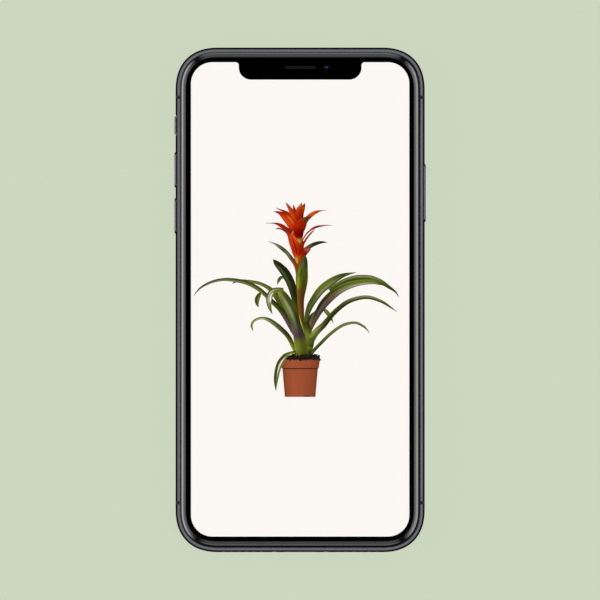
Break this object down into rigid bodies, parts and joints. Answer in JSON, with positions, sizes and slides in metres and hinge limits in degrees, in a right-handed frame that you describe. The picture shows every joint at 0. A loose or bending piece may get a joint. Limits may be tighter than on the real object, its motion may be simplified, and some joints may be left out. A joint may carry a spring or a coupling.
{
  "type": "smartphone",
  "caption": "Slim smartphone lying on its back: notched screen with a plant picture, glass front and back in a rounded metal band, side buttons, ring switch, card tray and charge port.",
  "frame": {"origin": "middle of the back glass's flat outer face, which the phone lies on", "axes": "+Z out of the screen, +Y towards the earpiece end, +X to the right as the screen is seen"},
  "size_m": [0.0716, 0.1436, 0.0077],
  "materials": {
    "band_steel": "polished, with a dark graphite coating",
    "antenna_plastic": "satin moulded plastic, flush with the band",
    "gasket_plastic": "matt black moulded plastic",
    "front_glass": "clear, polished, with a curved rim",
    "back_glass": "black behind clear glass, polished",
    "mask_film": "opaque black ink film",
    "lit_display": "lit off-white, with a picture of a potted plant",
    "camera_glass": "coated lens glass, blue to violet glints",
    "flash_glass": "frosted, pale yellow",
    "module_plastic": "matt black moulded plastic",
    "plate_steel": "satin sheet steel",
    "circuit_board": "green solder mask",
    "coil_copper": "lacquered copper wire",
    "thermal_sheet": "grey sheet",
    "battery_pouch": "black laminated pouch",
    "flex_film": "brown flexible film"
  },
  "bodies": {
    "phone": {"band_left": "band_steel", "band_right": "band_steel", "band_top": "band_steel", "band_bottom": "band_steel", "camera_window": "band_steel", "antenna_split_top_left": "antenna_plastic", "antenna_split_top_right": "antenna_plastic", "antenna_split_bottom_left": "antenna_plastic", "antenna_split_bottom_right": "antenna_plastic", "front_gasket": "gasket_plastic", "back_gasket": "gasket_plastic", "front_glass": "front_glass", "back_glass": "back_glass", "glass_mask": "mask_film", "display_panel": "lit_display", "front_camera": "camera_glass", "infrared_camera": "camera_glass", "pattern_projector": "camera_glass", "light_sensor": "camera_glass", "rear_lens_cover_left": "camera_glass", "rear_lens_cover_right": "camera_glass", "flash_window": "flash_glass", "rear_camera_left": "module_plastic", "rear_camera_right": "module_plastic", "earpiece_speaker": "module_plastic", "loudspeaker_box": "module_plastic", "port_tongue": "module_plastic", "ring_switch_base": "module_plastic", "mid_plate": "plate_steel", "sensor_bracket": "plate_steel", "side_key_switch": "plate_steel", "volume_key_switches": "plate_steel", "card_reader": "plate_steel", "charge_port": "plate_steel", "end_screw_left": "plate_steel", "end_screw_right": "plate_steel", "microphone_mesh": "plate_steel", "loudspeaker_mesh": "plate_steel", "earpiece_mesh": "plate_steel", "processor_shield": "plate_steel", "radio_shield": "plate_steel", "vibration_motor": "plate_steel", "board_screw_lower": "plate_steel", "board_screw_upper": "plate_steel", "logic_board": "circuit_board", "port_board": "circuit_board", "flash_unit": "circuit_board", "charging_coil": "coil_copper", "coil_shield": "thermal_sheet", "board_pad": "thermal_sheet", "battery": "battery_pouch", "battery_cable": "flex_film", "display_cable": "flex_film", "port_cable": "flex_film"},
    "side_button": {"side_button": "band_steel"},
    "volume_up_button": {"volume_up_button": "band_steel"},
    "volume_down_button": {"volume_down_button": "band_steel"},
    "ring_switch": {"ring_switch": "band_steel"},
    "card_tray": {"card_tray": "band_steel"}
  },
  "joints": [
    {"name": "side_button_press", "type": "slide", "parent": "phone", "child": "side_button", "axis": [-1, 0, 0], "range_m": [0, 0.00025], "stiffness_N_per_m": 1000, "springref_m": -0.0005},
    {"name": "volume_up_button_press", "type": "slide", "parent": "phone", "child": "volume_up_button", "axis": [1, 0, 0], "range_m": [0, 0.00025], "stiffness_N_per_m": 1000, "springref_m": -0.0005},
    {"name": "volume_down_button_press", "type": "slide", "parent": "phone", "child": "volume_down_button", "axis": [1, 0, 0], "range_m": [0, 0.00025], "stiffness_N_per_m": 1000, "springref_m": -0.0005},
    {"name": "ring_switch_slide", "type": "slide", "parent": "phone", "child": "ring_switch", "axis": [0, 0, -1], "range_m": [0, 0.001]},
    {"name": "card_tray_slide", "type": "slide", "parent": "phone", "child": "card_tray", "axis": [1, 0, 0], "range_m": [0, 0.011]}
  ]
}
